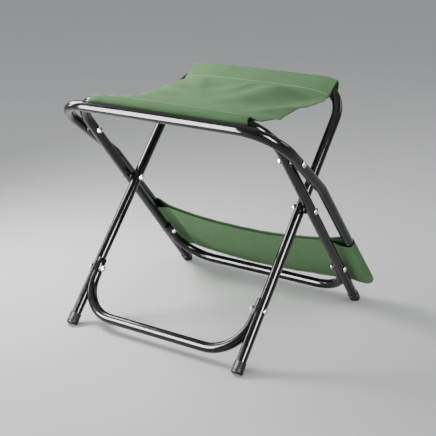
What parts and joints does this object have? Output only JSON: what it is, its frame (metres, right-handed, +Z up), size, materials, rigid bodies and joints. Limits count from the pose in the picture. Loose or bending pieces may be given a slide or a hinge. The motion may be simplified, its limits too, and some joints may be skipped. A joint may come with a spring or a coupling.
{
  "type": "folding camp stool",
  "caption": "Folding camp stool: crossed U tube frames, a slung fabric seat and a covered backrest frame that folds down behind it.",
  "frame": {"origin": "on the floor, at the middle of the outline seen from above", "axes": "+X to one side along the seat bars and the pivot axis, +Y towards the folded backrest's cover, +Z up"},
  "size_m": [0.411, 0.377, 0.3833],
  "materials": {
    "black_gloss_paint": "gloss black powder coat on steel tube",
    "black_plastic": "satin black moulded plastic",
    "zinc_steel": "bright zinc-plated steel",
    "seat_cloth": "sage green woven polyester, matt",
    "cover_cloth": "sage green woven polyester, matt"
  },
  "bodies": {
    "outer_frame": {"backrest_hinge_bolt_left": "zinc_steel", "backrest_hinge_bolt_right": "zinc_steel", "backrest_hinge_nut_left": "zinc_steel", "backrest_hinge_nut_right": "zinc_steel", "backrest_hinge_spacer_left": "black_plastic", "backrest_hinge_spacer_right": "black_plastic", "main_pivot_bolt_left": "zinc_steel", "main_pivot_bolt_right": "zinc_steel", "main_pivot_nut_left": "zinc_steel", "main_pivot_nut_right": "zinc_steel", "main_pivot_spacer_left": "black_plastic", "main_pivot_spacer_right": "black_plastic", "outer_frame": "black_gloss_paint", "outer_frame_foot_left": "black_plastic", "outer_frame_foot_right": "black_plastic", "rear_stretcher": "black_gloss_paint", "rear_stretcher_bolt_left": "zinc_steel", "rear_stretcher_bolt_right": "zinc_steel", "rear_stretcher_nut_left": "zinc_steel", "rear_stretcher_nut_right": "zinc_steel", "seat_front_sleeve": "seat_cloth", "seat_panel": "seat_cloth"},
    "inner_frame": {"front_stretcher": "black_gloss_paint", "front_stretcher_bolt_left": "zinc_steel", "front_stretcher_bolt_right": "zinc_steel", "front_stretcher_nut_left": "zinc_steel", "front_stretcher_nut_right": "zinc_steel", "inner_frame": "black_gloss_paint", "inner_frame_foot_left": "black_plastic", "inner_frame_foot_right": "black_plastic", "seat_rear_sleeve": "seat_cloth"},
    "backrest": {"arm_plug_left": "black_plastic", "arm_plug_right": "black_plastic", "backrest_cover": "cover_cloth", "backrest_frame": "black_gloss_paint"}
  },
  "joints": [
    {"name": "frame_fold", "type": "hinge", "parent": "outer_frame", "child": "inner_frame", "pos_m": [0, -0.00366, 0.2065], "axis": [1, 0, 0], "range_deg": [0, 75], "deforming": ["seat_panel"]},
    {"name": "backrest_hinge", "type": "hinge", "parent": "outer_frame", "child": "backrest", "pos_m": [0, -0.08728, 0.30102], "axis": [1, 0, 0], "range_deg": [0, 154]}
  ]
}
